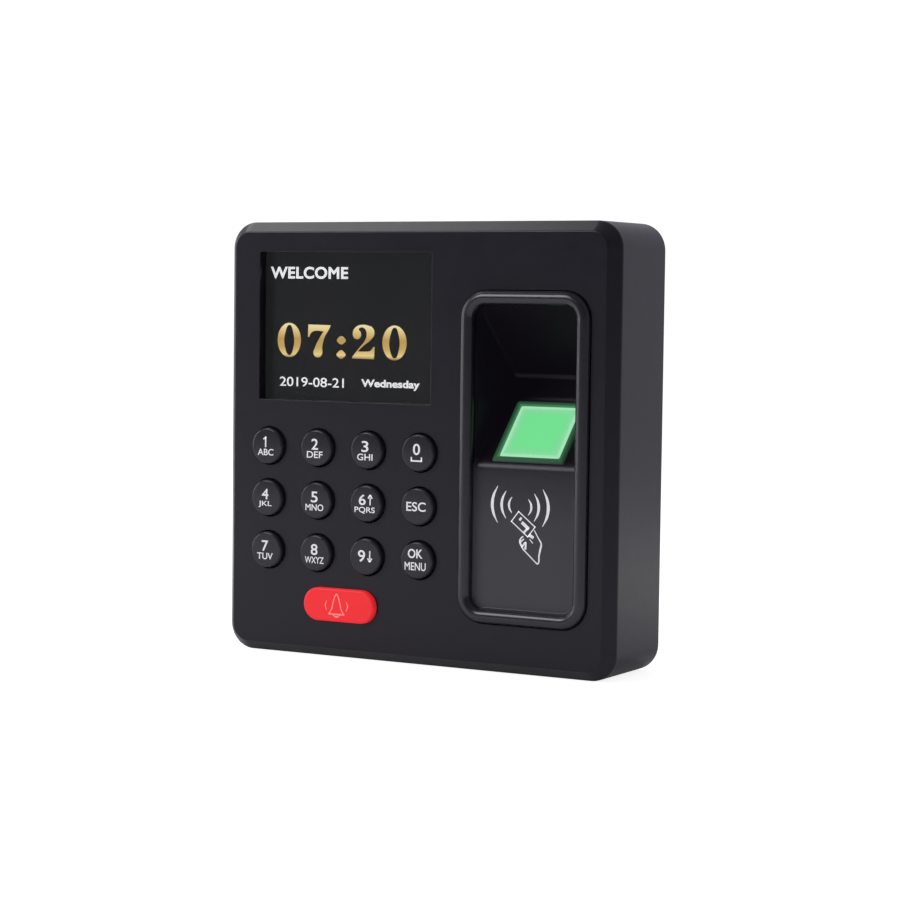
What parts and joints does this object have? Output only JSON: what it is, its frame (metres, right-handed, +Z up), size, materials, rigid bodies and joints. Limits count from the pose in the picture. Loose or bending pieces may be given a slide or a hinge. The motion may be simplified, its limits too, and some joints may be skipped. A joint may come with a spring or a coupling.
{
  "type": "fingerprint scanner terminal",
  "caption": "Square wall-mounted access terminal with a recessed colour display, round keys, a red doorbell button, a finger recess with a lit sensor and a card reading panel.",
  "frame": {"origin": "centre of the wall side, on the back face of the steel wall plate", "axes": "+X to the right seen from the front, +Y towards the wall, +Z up"},
  "size_m": [0.116, 0.0308, 0.115],
  "materials": {
    "case_plastic": "satin moulded",
    "cover_plastic": "fine texture",
    "plate_steel": "zinc plated",
    "screw_steel": "plated",
    "reader_plastic": "satin moulded",
    "seal_rubber": "matte",
    "sensor_glass": "lit from behind",
    "prism_glass": "polished",
    "module_plastic": "matte",
    "chip_black": "matte",
    "led_clear": "clear",
    "board_green": "solder mask",
    "ribbon_amber": "polyimide",
    "coil_copper": "enamelled wire",
    "display_glass": "clear tinted",
    "lcd_black": "glossy",
    "frame_steel": "bright",
    "mat_silicone": "matte",
    "pill_carbon": "matte",
    "bell_red": "semi-gloss",
    "key_black": "semi-gloss",
    "capacitor_can": "sleeved",
    "relay_blue": "moulded",
    "cell_steel": "bright",
    "socket_ivory": "moulded",
    "pin_gold": "plated"
  },
  "bodies": {
    "root": {"front_housing": "case_plastic", "rear_cover": "cover_plastic", "wall_plate": "plate_steel", "lock_screw": "screw_steel", "case_screws": "screw_steel", "reader_frame": "reader_plastic", "reader_screws": "screw_steel", "sensor_seal": "seal_rubber", "sensor_window": "sensor_glass", "sensor_prism": "prism_glass", "sensor_housing": "module_plastic", "sensor_lens": "module_plastic", "image_sensor": "chip_black", "sensor_leds": "led_clear", "sensor_board": "board_green", "sensor_screws": "screw_steel", "sensor_ribbon": "ribbon_amber", "antenna_board": "board_green", "antenna_coil": "coil_copper", "display_gasket": "seal_rubber", "display_window": "display_glass", "lcd_panel": "lcd_black", "lcd_frame": "frame_steel", "lcd_ribbon": "ribbon_amber", "keypad_mat": "mat_silicone", "contact_pills": "pill_carbon", "main_pcb": "board_green", "pcb_screws": "screw_steel", "main_chip": "chip_black", "small_chips": "chip_black", "capacitors": "capacitor_can", "relay": "relay_blue", "buzzer": "chip_black", "coin_cell": "cell_steel", "cell_holder": "module_plastic", "power_socket": "socket_ivory", "lock_socket": "socket_ivory", "data_socket": "socket_ivory", "socket_pins": "pin_gold", "tamper_switch": "module_plastic"},
    "key_1": {"key_1": "key_black"},
    "key_2": {"key_2": "key_black"},
    "key_3": {"key_3": "key_black"},
    "key_0": {"key_0": "key_black"},
    "key_4": {"key_4": "key_black"},
    "key_5": {"key_5": "key_black"},
    "key_6": {"key_6": "key_black"},
    "key_esc": {"key_esc": "key_black"},
    "key_7": {"key_7": "key_black"},
    "key_8": {"key_8": "key_black"},
    "key_9": {"key_9": "key_black"},
    "key_ok": {"key_ok": "key_black"},
    "doorbell_button": {"doorbell_button": "bell_red"},
    "tamper_plunger": {"tamper_plunger": "socket_ivory"}
  },
  "joints": [
    {"name": "key_1_press", "type": "slide", "parent": "root", "child": "key_1", "axis": [0, 1, 0], "range_m": [0, 0.001], "stiffness_N_per_m": 500, "springref_m": -0.0008, "deforming": ["keypad_mat"]},
    {"name": "key_2_press", "type": "slide", "parent": "root", "child": "key_2", "axis": [0, 1, 0], "range_m": [0, 0.001], "stiffness_N_per_m": 500, "springref_m": -0.0008, "deforming": ["keypad_mat"]},
    {"name": "key_3_press", "type": "slide", "parent": "root", "child": "key_3", "axis": [0, 1, 0], "range_m": [0, 0.001], "stiffness_N_per_m": 500, "springref_m": -0.0008, "deforming": ["keypad_mat"]},
    {"name": "key_0_press", "type": "slide", "parent": "root", "child": "key_0", "axis": [0, 1, 0], "range_m": [0, 0.001], "stiffness_N_per_m": 500, "springref_m": -0.0008, "deforming": ["keypad_mat"]},
    {"name": "key_4_press", "type": "slide", "parent": "root", "child": "key_4", "axis": [0, 1, 0], "range_m": [0, 0.001], "stiffness_N_per_m": 500, "springref_m": -0.0008, "deforming": ["keypad_mat"]},
    {"name": "key_5_press", "type": "slide", "parent": "root", "child": "key_5", "axis": [0, 1, 0], "range_m": [0, 0.001], "stiffness_N_per_m": 500, "springref_m": -0.0008, "deforming": ["keypad_mat"]},
    {"name": "key_6_press", "type": "slide", "parent": "root", "child": "key_6", "axis": [0, 1, 0], "range_m": [0, 0.001], "stiffness_N_per_m": 500, "springref_m": -0.0008, "deforming": ["keypad_mat"]},
    {"name": "key_esc_press", "type": "slide", "parent": "root", "child": "key_esc", "axis": [0, 1, 0], "range_m": [0, 0.001], "stiffness_N_per_m": 500, "springref_m": -0.0008, "deforming": ["keypad_mat"]},
    {"name": "key_7_press", "type": "slide", "parent": "root", "child": "key_7", "axis": [0, 1, 0], "range_m": [0, 0.001], "stiffness_N_per_m": 500, "springref_m": -0.0008, "deforming": ["keypad_mat"]},
    {"name": "key_8_press", "type": "slide", "parent": "root", "child": "key_8", "axis": [0, 1, 0], "range_m": [0, 0.001], "stiffness_N_per_m": 500, "springref_m": -0.0008, "deforming": ["keypad_mat"]},
    {"name": "key_9_press", "type": "slide", "parent": "root", "child": "key_9", "axis": [0, 1, 0], "range_m": [0, 0.001], "stiffness_N_per_m": 500, "springref_m": -0.0008, "deforming": ["keypad_mat"]},
    {"name": "key_ok_press", "type": "slide", "parent": "root", "child": "key_ok", "axis": [0, 1, 0], "range_m": [0, 0.001], "stiffness_N_per_m": 500, "springref_m": -0.0008, "deforming": ["keypad_mat"]},
    {"name": "doorbell_button_press", "type": "slide", "parent": "root", "child": "doorbell_button", "axis": [0, 1, 0], "range_m": [0, 0.001], "stiffness_N_per_m": 500, "springref_m": -0.0008, "deforming": ["keypad_mat"]},
    {"name": "tamper_press", "type": "slide", "parent": "root", "child": "tamper_plunger", "axis": [0, -1, 0], "range_m": [0, 0.0005], "stiffness_N_per_m": 400, "springref_m": -0.0015}
  ]
}
